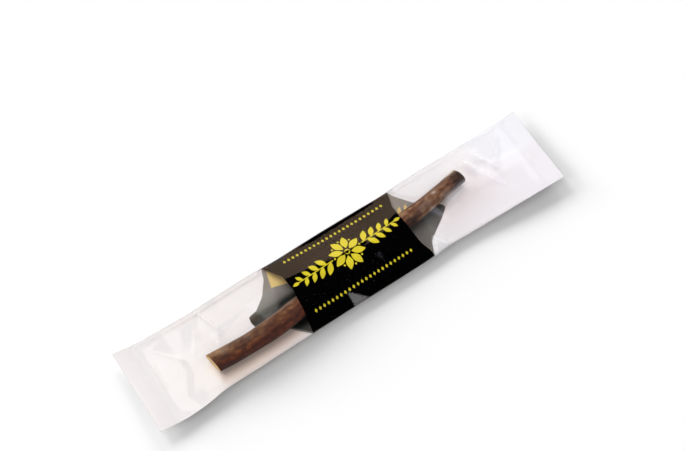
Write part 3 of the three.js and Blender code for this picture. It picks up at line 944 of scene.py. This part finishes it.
def pressed_on(tree, shape, target, height, down, gap):
    """Presses a flat shape onto the target from a height, and leaves it just off the surface."""
    place = add(tree, "GeometryNodeInputPosition")
    start = add(tree, "ShaderNodeVectorMath", {0: place, 1: metres(0, 0, height)}, operation="ADD")
    hit = add(tree, "GeometryNodeRaycast", {
        "Target Geometry": target, "Source Position": start, "Ray Direction": (0, 0, down), "Ray Length": 0.1,
    })
    off = add(tree, "ShaderNodeVectorMath", {0: hit.outputs["Hit Normal"], "Scale": gap}, operation="SCALE")
    return add(tree, "GeometryNodeSetPosition", {
        "Geometry": shape, "Position": hit.outputs["Hit Position"], "Offset": off,
    })


def ornament_tree():
    """The yellow print, pressed on the band's front and back from outside and on its back's inner face."""
    tree, given = geometry_group("printed_ornament", [
        ("Leaf length", "NodeSocketFloat", LEAF_LENGTH * MM),
        ("Leaf width", "NodeSocketFloat", LEAF_WIDTH * MM),
        ("Petal length", "NodeSocketFloat", PETAL_LENGTH * MM),
        ("Petal width", "NodeSocketFloat", PETAL_WIDTH * MM),
        ("Ink gap", "NodeSocketFloat", INK_GAP * MM),
        ("Band", "NodeSocketObject", None),
        ("Ink", "NodeSocketMaterial", None),
        ("Ink from behind", "NodeSocketMaterial", None),
    ])
    band = add(tree, "GeometryNodeObjectInfo", {"Object": given["Band"]}).outputs["Geometry"]
    lozenge = lozenge_shape(tree)
    sprig = sprig_shape(tree, leaf_shape(tree, given["Leaf length"], given["Leaf width"]))
    petal = leaf_shape(tree, given["Petal length"], given["Petal width"])
    rosette = rosette_shape(tree, petal, lozenge, sprig)
    rows = [lozenge_row(tree, lozenge, start, step) for start, step in LOZENGE_ROWS]
    flat = add(tree, "GeometryNodeJoinGeometry", {0: [rosette, *rows]})
    real = add(tree, "GeometryNodeRealizeInstances", {0: flat})
    front = pressed_on(tree, real, band, ABOVE, -1.0, given["Ink gap"])

    back_flat = back_shapes(tree, sprig)
    back_under = pressed_on(tree, back_flat, band, BELOW, 1.0, given["Ink gap"])
    back = add(tree, "GeometryNodeFlipFaces", {"Mesh": back_under})
    outer = add(tree, "GeometryNodeJoinGeometry", {0: [front, back]})
    gold = add(tree, "GeometryNodeSetMaterial", {"Geometry": outer, "Material": given["Ink"]})
    inner = pressed_on(tree, back_flat, band, BETWEEN_WALLS, -1.0, given["Ink gap"])
    pale = add(tree, "GeometryNodeSetMaterial", {"Geometry": inner, "Material": given["Ink from behind"]})
    inked = add(tree, "GeometryNodeJoinGeometry", {0: [gold, pale]})
    add(tree, "NodeGroupOutput", {0: inked})
    return tree


def ornament(band, ink, ink_from_behind):
    """The yellow print on the band."""
    piece = bpy.data.objects.new("ornament", bpy.data.meshes.new("ornament"))
    bpy.context.scene.collection.objects.link(piece)
    return grown(piece, ornament_tree(), {"Band": band, "Ink": ink, "Ink from behind": ink_from_behind})


# ---- Floor and light ----

# Half the table's width, how far it lies below the sachet, and its white.
TABLE_HALF = 2000.0
TABLE_DROP = 0.02
TABLE_WHITE = (0.72, 0.72, 0.72, 1)

# The lamps: degrees round from +X, degrees above the horizon, strength, and apparent width in degrees.
KEY_LAMP = (112, 66, 2.08, 36)
LOW_LAMPS = {
    "low_back": (100, 26, 2.12, 24),
    "low_left": (130, 16, 2.88, 22),
    "low_right": (60, 20, 1.56, 24),
    "low_end": (168, 25, 0.90, 24),
}

# The room's light on everything, and what the film mirrors: its ceiling, its low brown and its two cards.
ROOM_LIGHT = (0.56, 0.56, 0.56, 1)
CEILING = (0.004, 0.004, 0.004, 1)
LOW_BROWN = (1.36, 0.95, 0.68, 1)
FIRST_CARD = (2.3, 2.2, 2.0, 1)
SECOND_CARD = (1.7, 1.8, 2.1, 1)


def add_floor():
    """A plain white table top."""
    material, tree = new_material("white_table")
    shader = add(tree, "ShaderNodeBsdfDiffuse", {"Color": TABLE_WHITE})
    add(tree, "ShaderNodeOutputMaterial", {"Surface": shader})
    half = TABLE_HALF * MM
    mesh = bpy.data.meshes.new("floor")
    corners = [(-half, -half, 0), (half, -half, 0), (half, half, 0), (-half, half, 0)]
    mesh.from_pydata(corners, [], [(0, 1, 2, 3)])
    mesh.materials.append(material)
    floor = bpy.data.objects.new("floor", mesh)
    floor.location.z = -TABLE_DROP * MM
    bpy.context.scene.collection.objects.link(floor)
    return floor


def add_lamp(name, azimuth, elevation, strength, width, receivers):
    """A soft lamp far away that lights only its receivers and isn't mirrored in them."""
    a, e = math.radians(azimuth), math.radians(elevation)
    towards = Vector((math.cos(e) * math.cos(a), math.cos(e) * math.sin(a), math.sin(e)))
    data = bpy.data.lights.new(name, "SUN")
    data.energy = strength
    data.angle = math.radians(width)
    lamp = bpy.data.objects.new(name, data)
    lamp.location = towards
    lamp.rotation_euler = (-towards).to_track_quat("-Z", "Y").to_euler()
    lamp.visible_glossy = False
    bpy.context.scene.collection.objects.link(lamp)
    reached = bpy.data.collections.new(name + "_reaches")
    for receiver in receivers:
        reached.objects.link(receiver)
    lamp.light_linking.receiver_collection = reached


def add_lights(pieces, floor):
    """A soft key on the object alone, and four low lamps on the table alone that soften its shadow."""
    add_lamp("key", *KEY_LAMP, pieces)
    for name, settings in LOW_LAMPS.items():
        add_lamp(name, *settings, [floor])
    add_room()


def add_room():
    """An even white room. Mirrored in the film it is dark overhead, warm brown low down behind the sachet and
    white beyond its two ends, as if cards stood there. Ranges are of directions: X along, Y behind, Z up."""
    world = bpy.data.worlds.new("studio")
    bpy.context.scene.world = world
    world.use_nodes = True
    tree = world.node_tree
    tree.nodes.clear()
    towards = add(tree, "ShaderNodeTexCoord").outputs["Generated"]
    axes = add(tree, "ShaderNodeSeparateXYZ", {0: towards}).outputs
    low = add(tree, "ShaderNodeMapRange", {0: axes["Z"], 1: 0.73, 2: 0.68})
    behind = add(tree, "ShaderNodeMapRange", {0: axes["Y"], 1: 0.1, 2: 0.3})
    brown = add(tree, "ShaderNodeMath", {0: low, 1: behind}, operation="MULTIPLY")
    warm = add(tree, "ShaderNodeMix", {0: brown, 6: CEILING, 7: LOW_BROWN}, data_type="RGBA")

    off_middle = add(tree, "ShaderNodeMath", {0: axes["X"], 1: 0.26}, operation="SUBTRACT")
    sideways = add(tree, "ShaderNodeMath", {0: off_middle}, operation="ABSOLUTE")
    ends = add(tree, "ShaderNodeMapRange", {0: sideways, 1: 0.2, 2: 0.36})
    high = add(tree, "ShaderNodeMapRange", {0: axes["Z"], 1: 0.35, 2: 0.5})
    cards = add(tree, "ShaderNodeMath", {0: ends, 1: high}, operation="MULTIPLY")
    cooler = add(tree, "ShaderNodeMapRange", {0: axes["X"], 1: 0.0, 2: 0.5})
    card = add(tree, "ShaderNodeMix", {0: cooler, 6: FIRST_CARD, 7: SECOND_CARD}, data_type="RGBA")
    shown = add(tree, "ShaderNodeMix", {0: cards, 6: warm, 7: card}, data_type="RGBA")

    path = add(tree, "ShaderNodeLightPath").outputs
    lit = add(tree, "ShaderNodeMix", {0: path["Is Glossy Ray"], 6: ROOM_LIGHT, 7: shown}, data_type="RGBA")
    seen = add(tree, "ShaderNodeMix", {0: path["Is Camera Ray"], 6: lit, 7: WHITE}, data_type="RGBA")
    sky = add(tree, "ShaderNodeBackground", {"Color": seen, "Strength": 1.0})
    add(tree, "ShaderNodeOutputWorld", {"Surface": sky})


# ---- Assembly ----

add_camera()
bpy.context.scene.view_settings.view_transform = "Standard"

root = root_stick(dried_root_bark(), sawn_root_wood())
film = film_sachet(clear_wrapping_film())
band = ink_band(black_gravure_ink(), ink_backing())
gold = ornament(band, gold_ink("gold_ink", "#D6C62E"), gold_ink("gold_ink_from_behind", "#DDC07C"))

for piece, node_name, slot_name in (
    (root, "licorice_root", "bark"),
    (film, "film_wrapper", "clear_film"),
    (band, "printed_band", "black_print"),
    (gold, "printed_band", "black_print"),
):
    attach(piece, "root")
    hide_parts(node_name)

add_lights([root, film, band, gold], add_floor())
